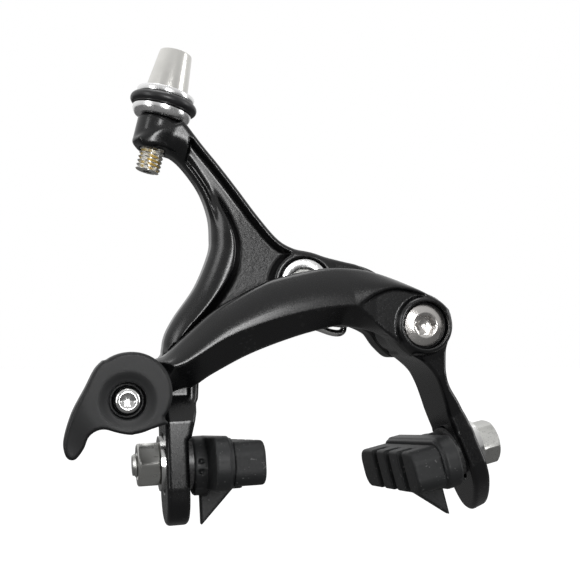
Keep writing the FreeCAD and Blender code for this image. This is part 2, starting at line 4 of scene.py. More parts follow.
import bmesh
import bpy
import numpy as np
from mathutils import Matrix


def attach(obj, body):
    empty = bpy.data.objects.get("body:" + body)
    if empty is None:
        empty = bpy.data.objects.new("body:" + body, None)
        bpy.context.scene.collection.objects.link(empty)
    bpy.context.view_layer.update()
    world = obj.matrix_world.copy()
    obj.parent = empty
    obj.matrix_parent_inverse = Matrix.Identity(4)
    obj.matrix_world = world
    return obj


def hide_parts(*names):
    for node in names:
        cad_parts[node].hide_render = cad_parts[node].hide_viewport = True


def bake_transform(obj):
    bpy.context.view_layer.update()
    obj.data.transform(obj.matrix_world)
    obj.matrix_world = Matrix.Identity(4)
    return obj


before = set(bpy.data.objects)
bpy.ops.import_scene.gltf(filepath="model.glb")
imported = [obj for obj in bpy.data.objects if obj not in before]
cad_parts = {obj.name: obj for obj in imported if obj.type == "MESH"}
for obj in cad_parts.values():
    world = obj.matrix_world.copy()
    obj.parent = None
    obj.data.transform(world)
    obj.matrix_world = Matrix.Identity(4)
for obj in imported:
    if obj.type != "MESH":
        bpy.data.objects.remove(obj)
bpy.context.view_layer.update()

import openvdb
from mathutils import Matrix, Vector

MM = 0.001
STEP = 0.3          # grid of the sculpted pieces, mm

# the model's driving sizes, in millimetres
SIDE_PIVOT = (27.5, -10.3)
DRIVE_PIN = (15.4, -5.2)
LEVER_AXIS = (-44.1, -27.6)
LEG_MID_Y = -16.0
LEFT_STUD, LEFT_TILT, LEFT_STRAP = (-31.3, -43.2), math.radians(2.5), 5.4
RIGHT_STUD, RIGHT_TILT, RIGHT_STRAP = (42.4, -41.4), math.radians(24.0), 4.8
STUD_TILT = math.radians(13.5)
ADJUSTER_FOOT = Vector((-38.3, -15.5, 27.5))
ADJUSTER_AXIS = Vector((math.sin(math.radians(12.9)), 0, math.cos(math.radians(12.9))))
REAR_Y = Vector((0, 1, 0))
M6_R = 3.0
BOLT_END = 20.0
SPRING_X, SPRING_Y, WIRE_R = 14.2, -5.75, 0.9
STUD_PAST = 6.3                            # stud's length outside its outer washer
NUT_LENGTH = 5.2


# ---- fields: functions of x, y, z in mm that are negative inside a shape --------------------
def smooth_line(points, per=8):
    """Points along a smooth curve through the given ones."""
    p = np.array(points, float)
    ext = np.vstack([2 * p[0] - p[1], p, 2 * p[-1] - p[-2]])
    out = []
    for i in range(1, len(ext) - 2):
        a, b, c, d = ext[i - 1:i + 3]
        for k in range(per):
            t = k / per
            out.append(b + 0.5 * t * (c - a + t * (2 * a - 5 * b + 4 * c - d + t * (3 * (b - c) + d - a))))
    out.append(ext[-2])
    return np.array(out)


def nearest(x, z, line):
    """Squared distance to a polyline, and the turn towards a point from its nearest run."""
    best = side = None
    for (x0, z0), (x1, z1) in zip(line[:-1], line[1:]):
        dx, dz = x1 - x0, z1 - z0
        t = np.clip(((x - x0) * dx + (z - z0) * dz) / (dx * dx + dz * dz + 1e-12), 0, 1)
        d = (x - x0 - t * dx) ** 2 + (z - z0 - t * dz) ** 2
        s = dx * (z - z0) - dz * (x - x0)
        if best is None:
            best, side = d, s
        else:
            closer = d < best
            best, side = np.where(closer, d, best), np.where(closer, s, side)
    return best, side


def along(x, z, line):
    """Signed distance from a polyline, positive on its left hand."""
    best, side = nearest(x, z, line)
    return np.sqrt(best) * np.where(side >= 0, 1.0, -1.0)


def area(x, z, loop):
    """Distance to a closed outline, negative inside."""
    loop = np.vstack([loop, loop[:1]])
    best, _ = nearest(x, z, loop)
    inside = np.zeros(np.broadcast(x, z).shape, bool)
    for (x0, z0), (x1, z1) in zip(loop[:-1], loop[1:]):
        if z0 != z1:
            crosses = ((z0 > z) != (z1 > z)) & (x < x0 + (z - z0) * (x1 - x0) / (z1 - z0))
            inside ^= crosses
    return np.sqrt(best) * np.where(inside, -1.0, 1.0)


def both(a, b, r=0.0):
    """Intersection with a rounded edge."""
    if r == 0:
        return np.maximum(a, b)
    u, v = np.maximum(a + r, 0), np.maximum(b + r, 0)
    return np.minimum(np.maximum(a, b), -r) + np.sqrt(u * u + v * v)


def either(a, b, r=0.0):
    """Union with a filleted corner."""
    return -both(-a, -b, r)


def less(a, b, r=0.0):
    """a without b, with a rounded edge."""
    return both(a, -b, r)


def ease(t):
    t = np.clip(t, 0, 1)
    return t * t * (3 - 2 * t)


def span(v, low, high):
    return np.abs(v - (low + high) / 2) - (high - low) / 2


def disc(x, z, centre, radius):
    return np.sqrt((x - centre[0]) ** 2 + (z - centre[1]) ** 2) - radius


def ball(x, y, z, centre, radius):
    cx, cy, cz = centre
    return np.sqrt((x - cx) ** 2 + (y - cy) ** 2 + (z - cz) ** 2) - radius


# ---- meshes ------------------------------------------------------------------------------------
ORIGINS = {}


def add(name, mesh, material, body, nodes=()):
    """New piece with a material, riding on a body and standing for CAD nodes."""
    obj = bpy.data.objects.new(name, mesh)
    obj.location = ORIGINS.get(name, (0, 0, 0))
    bpy.context.scene.collection.objects.link(obj)
    mesh.materials.append(material)
    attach(obj, body)
    if nodes:
        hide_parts(*nodes)
    return obj


def sculpt(name, field, low, high, rounds=5, step=None, place=None, masks=None):
    """Smooth mesh of the surface where a field is 0."""
    step = step or STEP
    axes = [np.arange(a, b + step, step) for a, b in zip(low, high)]
    x, y, z = np.meshgrid(*axes, indexing="ij", sparse=True)
    shape = tuple(len(a) for a in axes)
    values = np.broadcast_to(np.clip(field(x, y, z), -3 * step, 3 * step), shape)
    grid = openvdb.FloatGrid(3.0 * step)
    grid.copyFromArray(np.ascontiguousarray(values, dtype=np.float32))
    points, quads = grid.convertToQuads(0.0)
    points = points.astype(float) * step + np.array(low, float)
    pairs = np.concatenate([quads[:, [k, (k + 1) % 4]] for k in range(4)]).astype(np.int64)
    a, b = pairs[:, 0], pairs[:, 1]
    count = len(points)
    weight = (np.bincount(a, minlength=count) + np.bincount(b, minlength=count))[:, None]
    for amount in (0.5, -0.53) * rounds:
        total = np.stack([np.bincount(a, points[b, k], count) + np.bincount(b, points[a, k], count)
                          for k in range(3)], axis=1)
        points = points + amount * (total / weight - points)
    found = {key: mask(points[:, 0], points[:, 1], points[:, 2]) for key, mask in (masks or {}).items()}
    mirrored = False
    if place is not None:
        m = np.array(place)
        points = points @ m[:3, :3].T + m[:3, 3]
        mirrored = np.linalg.det(m[:3, :3]) < 0
    corner = points[quads]
    centre = points.mean(axis=0)
    normal = np.cross(corner[:, 2] - corner[:, 0], corner[:, 3] - corner[:, 1])
    if np.einsum("ij,ij->", corner.mean(axis=1) - centre, normal) < 0:
        quads = quads[:, ::-1]
    mesh = bpy.data.meshes.new(name)
    mesh.from_pydata((points * MM).tolist(), [], quads.tolist())
    for key, value in found.items():
        mesh.attributes.new(key, "FLOAT", "POINT").data.foreach_set("value", value.astype(np.float32))
    mesh.shade_smooth()
    return mesh


def rings(name, sections, origin, axis, count=96, hollow=False, crease=32.0, across=None, marks=None):
    """Mesh of rings about an axis. A section is (distance along it, radius or function of angle)."""
    axis = Vector(axis).normalized()
    across = Vector(across) if across else Vector((0, 0, 1)) if abs(axis.z) < 0.7 else Vector((0, 1, 0))
    u = (across - axis * across.dot(axis)).normalized()
    v = axis.cross(u)
    origin = Vector(origin)
    verts, faces, loops, groove = [], [], [], []
    for s, radius in sections:
        if not callable(radius) and radius == 0:
            loops.append([len(verts)])
            verts.append(origin + axis * s)
            groove.append(0.0)
            continue
        loops.append(list(range(len(verts), len(verts) + count)))
        for k in range(count):
            angle = 2 * math.pi * k / count
            r = radius(angle) if callable(radius) else radius
            verts.append(origin + axis * s + (u * math.cos(angle) + v * math.sin(angle)) * r)
            groove.append(marks(r) if marks else 0.0)
    pairs = list(zip(loops[:-1], loops[1:]))
    if hollow:
        pairs.append((loops[-1], loops[0]))
    for low, high in pairs:
        if len(low) == 1 and len(high) == 1:
            continue
        for k in range(count):
            n = (k + 1) % count
            if len(low) == 1:
                faces.append((low[0], high[n], high[k]))
            elif len(high) == 1:
                faces.append((low[k], low[n], high[0]))
            else:
                faces.append((low[k], low[n], high[n], high[k]))
    mesh = bpy.data.meshes.new(name)
    mesh.from_pydata([(p - origin) * MM for p in verts], [], faces)
    ORIGINS[name] = origin * MM
    if marks:
        mesh.attributes.new("groove", "FLOAT", "POINT").data.foreach_set("value", groove)
    work = bmesh.new()
    work.from_mesh(mesh)
    bmesh.ops.recalc_face_normals(work, faces=work.faces)
    work.to_mesh(mesh)
    work.free()
    mesh.shade_smooth()
    mesh.set_sharp_from_angle(angle=math.radians(crease))
    return mesh


def hexed(flats, turn=0.0, limit=None):
    """Radius of a hexagon at an angle, its corners cut to a limit."""
    def radius(angle):
        phi = (angle + turn + math.pi / 6) % (math.pi / 3) - math.pi / 6
        r = flats / 2 / math.cos(phi)
        return min(r, limit) if limit else r
    return radius


def thread(low, high, radius, pitch=1.0, depth=0.55, taper=0.8, flat=()):
    """Sections of a helical thread between two distances, tapered at its high end."""
    count = max(2, int((high - low) / pitch * 10))
    result = []
    for k in range(count + 1):
        s = low + (high - low) * k / count

        def helix(angle, s=s):
            phase = (s / pitch + angle / (2 * math.pi)) % 1.0
            wave = min(1.0, max(0.0, abs(phase - 0.5) * 2.6 - 0.16))
            r = radius - depth * wave
            r = min(r, radius - depth - 0.1 + (high - s) / taper * (depth + 0.1))
            for middle, width in flat:
                off = abs((angle - middle + math.pi) % (2 * math.pi) - math.pi)
                if off < width:
                    r = min(r, radius - depth * 1.05)
            return r
        result.append((s, helix))
    return result


# ---- materials ------------------------------------------------------------------------------------
def surface(name, colour, rough, metallic=0.0, grain=1200.0, tint=0.12, rough_span=0.06, bump=0.08,
            depth=0.00003, stretch=(1, 1, 1), specks=None, wear=None, cast=False, groove=None,
            radial=None, **sockets):
    """Procedural material: grain and smudges in colour, roughness and height."""
    material = bpy.data.materials.new(name)
    material.use_nodes = True
    nodes, links = material.node_tree.nodes, material.node_tree.links
    shader = nodes["Principled BSDF"]
    shader.inputs["Metallic"].default_value = metallic
    for key, value in sockets.items():
        shader.inputs[key.replace("_", " ")].default_value = value

    def node(kind, **values):
        made = nodes.new("ShaderNode" + kind)
        for key, value in values.items():
            if hasattr(made, key):
                setattr(made, key, value)
            else:
                made.inputs[key.replace("_", " ")].default_value = value
        return made

    def noise(scale, detail=4.0, coordinates=None):
        made = node("TexNoise", Scale=scale, Detail=detail, Roughness=0.6)
        links.new(coordinates or mapping.outputs[0], made.inputs["Vector"])
        return made.outputs["Fac"]

    def remap(value, low, high, to_low, to_high):
        made = node("MapRange", From_Min=low, From_Max=high, To_Min=to_low, To_Max=to_high)
        links.new(value, made.inputs["Value"])
        return made.outputs["Result"]

    def mix(factor, first, second):
        made = node("Mix", data_type="RGBA")
        links.new(factor, made.inputs[0])
        for socket, value in ((made.inputs[6], first), (made.inputs[7], second)):
            if isinstance(value, tuple):
                socket.default_value = (*value, 1.0)
            else:
                links.new(value, socket)
        return made.outputs[2]

    def attribute(key):
        return node("Attribute", attribute_name=key).outputs["Fac"]

    def multiply(a, b):
        made = node("Math", operation="MULTIPLY")
        for socket, value in ((made.inputs[0], a), (made.inputs[1], b)):
            if isinstance(value, float):
                socket.default_value = value
            else:
                links.new(value, socket)
        return made.outputs[0]

    place = node("TexCoord")
    mapping = node("Mapping")
    mapping.inputs["Scale"].default_value = stretch
    links.new(place.outputs["Object"], mapping.inputs["Vector"])
    fine = noise(grain)
    smudge = noise(grain / 14, 3.0)
    dark = tuple(c * (1 - tint) for c in colour)
    light = tuple(min(1.0, c * (1 + tint)) for c in colour)
    shade = mix(remap(smudge, 0.3, 0.7, 0.0, 1.0), dark, light)
    roughness = remap(fine, 0.3, 0.7, rough - rough_span, rough + rough_span)
    if specks:
        dots = noise(specks[0], 1.0)
        shade = mix(remap(dots, specks[1], specks[1] + 0.03, 0.0, specks[3]), shade, specks[2])
    if wear:
        edge = node("NewGeometry").outputs["Pointiness"]
        shade = mix(multiply(remap(edge, 0.52, 0.6, 0.0, 1.0), remap(fine, 0.4, 0.6, 0.2, 1.0)), shade, wear)
    if groove:
        inside = multiply(attribute("groove"), remap(noise(420.0, 2.0), 0.42, 0.55, 0.0, 1.0))
        shade = mix(inside, shade, groove)
        roughness = remap(attribute("groove"), 0.0, 1.0, rough, 0.6)
    links.new(shade, shader.inputs["Base Color"])
    relief = node("Bump", Strength=bump, Distance=depth)
    links.new(fine, relief.inputs["Height"])
    last = relief
    if cast:
        pits = noise(700.0, 5.0)
        grainy = node("Bump", Distance=0.00022)
        links.new(multiply(attribute("cast"), 0.75), grainy.inputs["Strength"])
        links.new(pits, grainy.inputs["Height"])
        links.new(relief.outputs[0], grainy.inputs["Normal"])
        last = grainy
        made = node("Math", operation="ADD")
        links.new(roughness, made.inputs[0])
        links.new(multiply(attribute("cast"), 0.16), made.inputs[1])
        roughness = made.outputs[0]
    links.new(roughness, shader.inputs["Roughness"])
    links.new(last.outputs[0], shader.inputs["Normal"])
    if radial:
        tangent = node("Tangent", direction_type="RADIAL", axis=radial)
        links.new(tangent.outputs[0], shader.inputs["Tangent"])
        shader.inputs["Anisotropic"].default_value = 0.5
        shader.inputs["Anisotropic Rotation"].default_value = 0.25
    return material


PAINT = surface("arm_paint", (0.0022, 0.0023, 0.0026), 0.24, grain=2600.0, tint=0.12, bump=0.07,
                depth=0.00002, wear=(0.012, 0.012, 0.013), cast=True)
ZINC = surface("zinc_steel", (0.52, 0.52, 0.50), 0.34, 1.0, grain=1500.0, tint=0.14, bump=0.25, depth=0.00003,
               specks=(2400.0, 0.62, (0.30, 0.30, 0.29), 0.5))
BRUSHED = surface("brushed_nut", (0.50, 0.50, 0.48), 0.32, 1.0, grain=1500.0, stretch=(0.12, 1, 1), bump=0.3,
                  depth=0.00003)
STAINLESS = surface("turned_stainless", (0.60, 0.58, 0.56), 0.22, 1.0, grain=2400.0, tint=0.05, bump=0.0,
                    radial="Y")
BRIGHT = surface("bright_steel", (0.66, 0.66, 0.65), 0.18, 1.0, grain=1800.0, tint=0.06, bump=0.06)
ALLOY = surface("polished_alloy", (0.92, 0.92, 0.92), 0.24, 1.0, grain=1600.0, tint=0.03, bump=0.05,
                stretch=(1, 1, 0.2))
BARREL = surface("barrel_thread", (0.74, 0.73, 0.70), 0.25, 1.0, grain=1500.0, tint=0.08, bump=0.1,
                 groove=(0.62, 0.48, 0.16))
BLACK_STEEL = surface("black_steel", (0.012, 0.012, 0.013), 0.32, grain=1800.0, tint=0.2, bump=0.15,
                      wear=(0.06, 0.06, 0.06))
BRONZE = surface("bronze", (0.55, 0.38, 0.20), 0.4, 1.0, grain=1500.0, tint=0.12, bump=0.2)
PLASTIC = surface("lever_plastic", (0.0060, 0.0063, 0.0068), 0.48, grain=3200.0, tint=0.15, bump=0.2,
                  depth=0.00003, wear=(0.02, 0.02, 0.021), Specular_IOR_Level=0.36)
CARRIER = surface("shoe_plastic", (0.0100, 0.0106, 0.0112), 0.5, grain=2200.0, tint=0.2, bump=0.25,
                  depth=0.00004, specks=(1100.0, 0.70, (0.10, 0.10, 0.10), 0.5), wear=(0.028, 0.029, 0.03),
                  Specular_IOR_Level=0.38)
RUBBER = surface("pad_rubber", (0.0100, 0.0106, 0.0112), 0.58, grain=1800.0, tint=0.2, bump=0.35,
                 depth=0.00005, specks=(1300.0, 0.68, (0.12, 0.12, 0.12), 0.5), Specular_IOR_Level=0.38)
RING = surface("ring_rubber", (0.010, 0.010, 0.011), 0.36, grain=2400.0, tint=0.2, bump=0.2)


# ---- rear arm -----------------------------------------------------------------------------------------
REAR_LEFT = [(-41.2, 34.4), (-39.4, 32.3), (-34.6, 31.6), (-31.6, 30.1), (-28.3, 26.6), (-25.3, 22.1),
             (-23.3, 16.6), (-22.8, 11.6), (-23.2, 7.3), (-26.5, -0.9), (-31.6, -8.5), (-34.0, -13.6),
             (-34.2, -18.6), (-33.9, -27.6)]
REAR_LOWER = [(-26.8, -27.6), (-26.0, -21.6), (-20.6, -15.1), (-10.6, -11.5), (-2.6, -10.4)]
REAR_REACH = [(6.4, -9.9), (12.4, -10.4), (18.0, -9.0), (19.6, -5.2), (18.4, 1.8), (14.3, 4.7), (9.8, 5.8)]
REAR_UPPER = [(6.0, 6.6), (3.0, 7.0), (-2.3, 8.5), (-6.7, 10.8), (-11.8, 16.4), (-16.9, 22.9),
              (-21.6, 28.7), (-25.7, 33.5), (-30.2, 39.2)]
BAND_RIDGE = [(-30.8, 33.0), (-27.3, 26.4), (-24.9, 23.0), (-22.5, 20.0), (-19.7, 15.2), (-17.9, 10.1),
              (-18.0, 5.0), (-19.7, 0.6), (-22.3, -3.3), (-25.0, -6.7), (-28.3, -10.3), (-31.6, -14.4)]


def web_depth(x, z):
    """0 on the rear arm's band, rim and boss to 1 on the floor of its web."""
    beside = ease(along(x, z, smooth_line(BAND_RIDGE)) / 2.4)
    rim = ease((np.abs(along(x, z, smooth_line(REAR_UPPER))) - 1.1) / 0.8)
    low = ease((np.abs(along(x, z, smooth_line(REAR_LOWER))) - 1.5) / 1.5)
    ring = ease((disc(x, z, (0, 0), 0) - 7.5) / 1.6)
    boss = ease(-along(x, z, np.array([(-30.3, 27.0), (-28.4, 36.0)])) / 0.7)
    return beside * rim * low * ring * boss * ease((-2.0 - x) / 2.0)


def strap(x, y, z, stud, tilt, thickness, reach_up, profile, shank, bend=2.0, soft=1.1):
    """Shoe strap: a tilted plate and its shank, within a side profile."""
    across = (x - stud[0]) * math.cos(tilt) + (z - stud[1]) * math.sin(tilt)
    up = (z - stud[1]) * math.cos(tilt) - (x - stud[0]) * math.sin(tilt)
    plate = both(np.abs(across) - thickness / 2, up - reach_up, 0.5)
    plan = either(plate, area(x, z, shank), bend)
    side = area(y, stud[1] + up * math.cos(tilt), profile)
    body = both(plan, side, soft)
    slot = np.sqrt(np.maximum(np.abs(up) - 4.0, 0) ** 2 + (y - LEG_MID_Y) ** 2) - 3.2
    return body, slot


def from_adjuster(x, y, z):
    """Distance from the adjuster's axis, and along it from its foot."""
    fx, fy, fz = ADJUSTER_FOOT
    ax, _, az = ADJUSTER_AXIS
    s = (x - fx) * ax + (z - fz) * az
    return np.sqrt(((x - fx) * az - (z - fz) * ax) ** 2 + (y - fy) ** 2), s


def rear_arm(x, y, z):
    outline = np.vstack([smooth_line(REAR_LEFT), smooth_line(REAR_LOWER), smooth_line(REAR_REACH),
                         smooth_line(REAR_UPPER)])
    plan = area(x, z, outline)
    from_left = np.abs(along(x, z, smooth_line(REAR_LEFT[2:])))
    crest = -20.5 + 3.2 * np.clip(1 - from_left / 5.2, 0, 1) ** 2
    band = ease(-along(x, z, np.array([(-30.3, 27.0), (-28.4, 36.0)])) / 0.7) * ease((z - 12.0) / 14.0)
    band = band * ease((np.abs(along(x, z, smooth_line(REAR_UPPER))) - 1.1) / 0.8)
    crest = crest + 2.6 * band * ease((from_left - 0.4) / 1.5) * (from_left < 9.0)
    front = crest + (-17.3 - crest) * web_depth(x, z)
    plate = both(plan, front - y, 1.1)
    plate = both(plate, y + 11.5, 0.9)
    out, s = from_adjuster(x, y, z)
    boss = both(out - 5.25, span(s, 5.3, 12.7), 0.9)
    arm = either(plate, boss, 1.2)
    eye = both(disc(x, z, (0, 0), 7.6), span(y, -20.2, -9.5), 0.5)
    arm = either(arm, eye, 1.6)
    lower_end = smooth_line([(-8.0, -48.0), (-8.6, -52.8), (-11.0, -56.6), (-16.0, -58.0), (-20.6, -56.4),
                             (-23.2, -52.8), (-24.0, -48.6)])
    profile = np.vstack([lower_end, [(-24.0, -33.0), (-20.8, -27.0), (-20.8, -14.0), (-11.5, -14.0),
                                     (-11.5, -21.0), (-8.0, -28.0)]])
    shank = np.array([(-33.4, -17.0), (-33.6, -31.0), (-31.0, -38.0), (-28.2, -37.0), (-26.9, -31.0),
                      (-26.4, -17.0)])
    leg, slot = strap(x, y, z, LEFT_STUD, LEFT_TILT, LEFT_STRAP, 25.0, profile, shank, bend=0.4)
    arm = either(arm, leg, 2.0)
    arm = less(arm, slot, 0.5)
    arm = less(arm, disc(x, z, (0, 0), 4.0))
    arm = less(arm, both(disc(x, z, (0, 0), 6.4), y + 15.5), 0.35)
    arm = less(arm, out - 3.15, 0.3)
    arm = less(arm, both(out - 7.8, 12.75 - s))
    return less(arm, both(disc(x, z, DRIVE_PIN, 1.25), y + 13.0))


def cast_web(x, y, z):
    """1 where the rear arm's web keeps its rough cast skin."""
    return web_depth(x, z) * (y < -14) * ease((22.0 - z) / 8.0) * ease((z + 14) / 4)


add("rear_arm_forging", sculpt("rear_arm_forging", rear_arm, (-45, -26, -60), (22, -6, 43),
                               masks={"cast": cast_web}),
    PAINT, "rear_arm", ["rear_arm"])


# ---- front arm ----------------------------------------------------------------------------------------
ARCH_TOP = [(-36.9, -18.4), (-34.8, -17.5), (-30.6, -13.6), (-24.2, -7.8), (-18.8, -4.2), (-13.3, -1.2),
            (-8.4, 0.8), (1.5, 3.1), (9.4, 3.4), (16.0, 2.5), (24.8, -0.5), (31.7, -4.1), (34.8, -7.4)]
ARCH_LOW = [(24.5, -17.6), (17.7, -12.3), (9.9, -10.6), (6.2, -10.6), (-3.2, -13.0), (-14.5, -17.2),
            (-23.6, -22.0), (-28.0, -24.8), (-33.3, -26.4), (-40.6, -33.1)]
RIDGE = [(-39.5, -20.5), (-36.0, -20.6), (-31.9, -20.0), (-28.3, -18.2), (-21.3, -13.9), (-14.1, -10.9),
         (-6.8, -8.6), (0.5, -6.9), (7.0, -6.0), (10.3, -5.9)]
FAN_ARC = [(10.3, -5.9), (12.4, -4.4), (15.1, -2.7), (19.5, -1.3), (24.8, -1.9), (29.0, -3.6), (33.5, -6.6)]
FAN_LINE = [(10.3, -5.9), (13.6, -8.4), (17.0, -11.4), (20.6, -14.6), (24.0, -17.6)]


def arch_front(x, z):
    """Depth of the front arm's front face."""
    upper_edge = np.vstack([smooth_line(RIDGE), smooth_line(FAN_ARC)[1:]])
    lower_edge = np.vstack([smooth_line(RIDGE), smooth_line(FAN_LINE)[1:]])
    above = along(x, z, upper_edge)
    below = -along(x, z, lower_edge)
    to_top = np.abs(along(x, z, smooth_line(ARCH_TOP)))
    to_low = np.abs(along(x, z, smooth_line(ARCH_LOW)))
    fan_level = -30.5 + 1.1 * ease((x - 9.5) / 6.0)
    share = np.clip(above / (above + to_top + 0.01), 0, 1)
    top_face = -30.5 + 3.6 * share ** 2
    share = np.clip(below / (below + to_low + 0.01), 0, 1)
    low_face = fan_level + 5.4 * share
    front = np.where(above > 0, top_face, fan_level)
    step = ease(-above / 0.7)
    front = np.where((above <= 0) & (below <= 0), -30.5 + (fan_level + 30.5) * step, front)
    return np.where(below > 0, low_face, front)


def front_arm(x, y, z):
    outline = np.vstack([smooth_line(ARCH_TOP), smooth_line(ARCH_LOW)])
    front = arch_front(x, z)
    from_lever = disc(x, z, LEVER_AXIS, 0)
    front = np.maximum(front, -29.05 - np.maximum(from_lever - 11.4, 0) * 0.9)
    arch = both(both(area(x, z, outline), front - y, 0.7), y + 22.0, 0.8)
    eye = both(disc(x, z, LEVER_AXIS, 7.2), span(y, -29.1, -22.0), 0.6)
    arm = either(arch, eye, 1.5)
    r = disc(x, z, SIDE_PIVOT, 0)
    lip = -31.0 + 3.2 * (1 - np.sqrt(1 - np.clip((r - 5.95) / 1.5, 0, 1) ** 2))
    boss = both(both(r - 7.4 + 0.9 * ease((y + 24.0) / 8.0), lip - y, 0.5), y + 9.5, 0.6)
    arm = either(arm, boss, 1.3)
    lower_end = smooth_line([(-5.4, -47.2), (-4.8, -52.2), (-6.6, -56.2), (-11.0, -57.0), (-16.4, -54.2),
                             (-21.6, -49.4), (-24.0, -44.8)])
    profile = np.vstack([lower_end, [(-24.0, -32.0), (-27.6, -22.0), (-28.4, -8.0), (-9.6, -8.0),
                                     (-9.6, -20.0), (-7.4, -30.0), (-7.0, -40.0)]])
    inner = smooth_line([(25.4, -17.2), (29.7, -20.7), (32.2, -24.2), (34.3, -28.6), (36.3, -33.4),
                         (38.3, -37.9)])
    outer = smooth_line([(43.0, -37.2), (41.2, -33.2), (38.5, -29.0), (35.6, -25.2), (34.2, -21.8),
                         (34.0, -18.0), (34.2, -12.0)])
    leg, slot = strap(x, y, z, RIGHT_STUD, RIGHT_TILT, RIGHT_STRAP, 6.0, profile,
                      np.vstack([inner, outer]), bend=0.4)
    arm = either(arm, leg, 1.6)
    arm = less(arm, slot, 0.5)
    arm = less(arm, r - 4.6)
    arm = less(arm, both(r - 5.75, y + 28.0), 0.25)
    arm = less(arm, disc(x, z, LEVER_AXIS, 4.05))
    dx, dz = DRIVE_PIN
    pocket = np.sqrt(np.maximum(np.abs(x - dx + 0.45) - 0.45, 0) ** 2 + (z - dz) ** 2) - 2.3
    return less(arm, both(pocket, -25.6 - y))


add("front_arm_forging", sculpt("front_arm_forging", front_arm, (-54, -33, -60), (53, -3, 6),
                                masks={"cast": lambda x, y, z: np.zeros_like(x)}),
    PAINT, "front_arm", ["front_arm"])


# ---- bridge and its small parts ----------------------------------------------------------------------
def bridge(x, y, z):
    top = smooth_line([(-6.0, 5.2), (2.0, 7.9), (9.0, 7.5), (15.8, 6.4), (22.0, 4.3), (29.0, -0.9),
                       (33.4, -5.6)])
    low = smooth_line([(29.5, -17.9), (25.6, -17.6), (22.6, -13.6), (18.8, -11.0), (12.8, -8.8), (6.0, -6.6),
                       (-5.5, -5.8)])
    plan = area(x, z, np.vstack([top, low]))
    plan = either(plan, disc(x, z, (0, 0), 7.9), 1.0)
    plan = either(plan, disc(x, z, SIDE_PIVOT, 6.7), 1.0)
    plate = both(plan, span(y, -9.0, -2.5), 0.8)
    relief = both(area(x, z, np.vstack([top, low])) + 2.2, -3.6 - y)
    plate = less(plate, less(relief, either(disc(x, z, (SPRING_X, 0), 4.4), disc(x, z, SIDE_PIVOT, 9.5))), 0.5)
    plate = less(plate, disc(x, z, (0, 0), 4.4))
    plate = less(plate, disc(x, z, SIDE_PIVOT, 3.5))
    return less(plate, np.sqrt((x - SPRING_X) ** 2 + (y - SPRING_Y) ** 2) - 2.0)


add("bridge_forging", sculpt("bridge_forging", bridge, (-10, -11, -20), (37, -1, 10),
                             masks={"cast": lambda x, y, z: ease((-3.2 - y) * 4) * (y > -8)}),
    PAINT, "bridge", ["pivot_bridge"])

add("mounting_bolt_threaded", rings("mounting_bolt_threaded", [(-20.6, 0), (-20.6, 2.9), (-20.1, 3.38),
    (-9.0, 3.38), (-9.0, 4.35), (-2.5, 4.35), (-2.5, 3.38), (0.0, 3.38), (0.0, 3.0), (3.0, 3.0)]
    + thread(3.0, BOLT_END, M6_R, taper=1.2) + [(BOLT_END, 0)], (0, 0, 0), REAR_Y, 64),
    ZINC, "bridge", ["mounting_bolt"])

px, pz = SIDE_PIVOT
add("side_pivot_bolt_head", rings("side_pivot_bolt_head", [
    (-26.9, 0), (-27.3, 1.2), (-27.5, 1.6), (-27.5, hexed(4.6)), (-29.7, hexed(4.6)),
    (-30.0, hexed(4.6, limit=2.6)), (-30.2, 2.75), (-30.3, 3.0), (-30.25, 3.3), (-29.6, 5.0)]
    + [(-29.42, 5.1), (-29.2, 5.15), (-28.2, 5.15), (-28.05, 5.0), (-28.0, 3.5), (-2.6, 3.5), (-2.5, 3.4),
       (-2.5, 0)], (px, 0, pz), REAR_Y, 96), STAINLESS, "bridge", ["side_pivot_bolt"])
add("side_pivot_spacer", rings("side_pivot_spacer", [(-9.0, 3.6), (-9.0, 6.3), (-9.1, 6.4), (-9.3, 6.4),
    (-9.4, 6.3), (-9.4, 3.6)], (px, 0, pz), REAR_Y, 96, hollow=True),
    BLACK_STEEL, "bridge", ["side_pivot_washer"])
add("side_pivot_seal", rings("side_pivot_seal", [(-28.7, 5.25), (-29.1, 5.3), (-29.2, 5.45), (-29.1, 5.62),
    (-28.7, 5.68), (-28.05, 5.68), (-28.05, 5.25)], (px, 0, pz), REAR_Y, 96, hollow=True),
    RING, "front_arm")
add("lock_nut_faced", rings("lock_nut_faced", [(-16.1, 3.42), (-16.1, 5.0), (-17.0, 5.0), (-17.0, 6.1),
    (-20.0, 6.2), (-20.3, 6.05), (-20.4, 5.8), (-20.4, 4.2), (-20.1, 3.7), (-19.9, 3.42)],
    (0, 0, 0), REAR_Y, 96, hollow=True), ALLOY, "bridge", ["centre_lock_nut"])

wire = [(SPRING_X, -6.0), (SPRING_X, -9.8), (14.0, -11.3), (12.6, -11.8), (10.2, -11.4),
        (7.0, -10.2), (3.4, -9.3),
        (0.0, -8.9), (-4.4, -9.1), (-9.0, -9.6), (-16.0, -11.0), (-23.6, -12.6)]
curve = bpy.data.curves.new("spring_wire", "CURVE")
curve.dimensions = "3D"
spline = curve.splines.new("NURBS")
spline.points.add(len(wire) - 1)
for point, (x, z) in zip(spline.points, wire):
    point.co = (x * MM, SPRING_Y * MM, z * MM, 1)
spline.order_u = 3
spline.use_endpoint_u = True
curve.bevel_depth = WIRE_R * MM
curve.bevel_resolution = 5
curve.use_fill_caps = True
curve.resolution_u = 10
drawn = bpy.data.objects.new("spring_wire_path", curve)
bpy.context.scene.collection.objects.link(drawn)
bpy.context.view_layer.update()
spring = bpy.data.objects.new("spring_wire", bpy.data.meshes.new_from_object(drawn))
bpy.data.objects.remove(drawn)
bpy.context.scene.collection.objects.link(spring)
spring.data.shade_smooth()
spring.data.materials.clear()
spring.data.materials.append(BRIGHT)
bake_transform(spring)
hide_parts("return_spring")


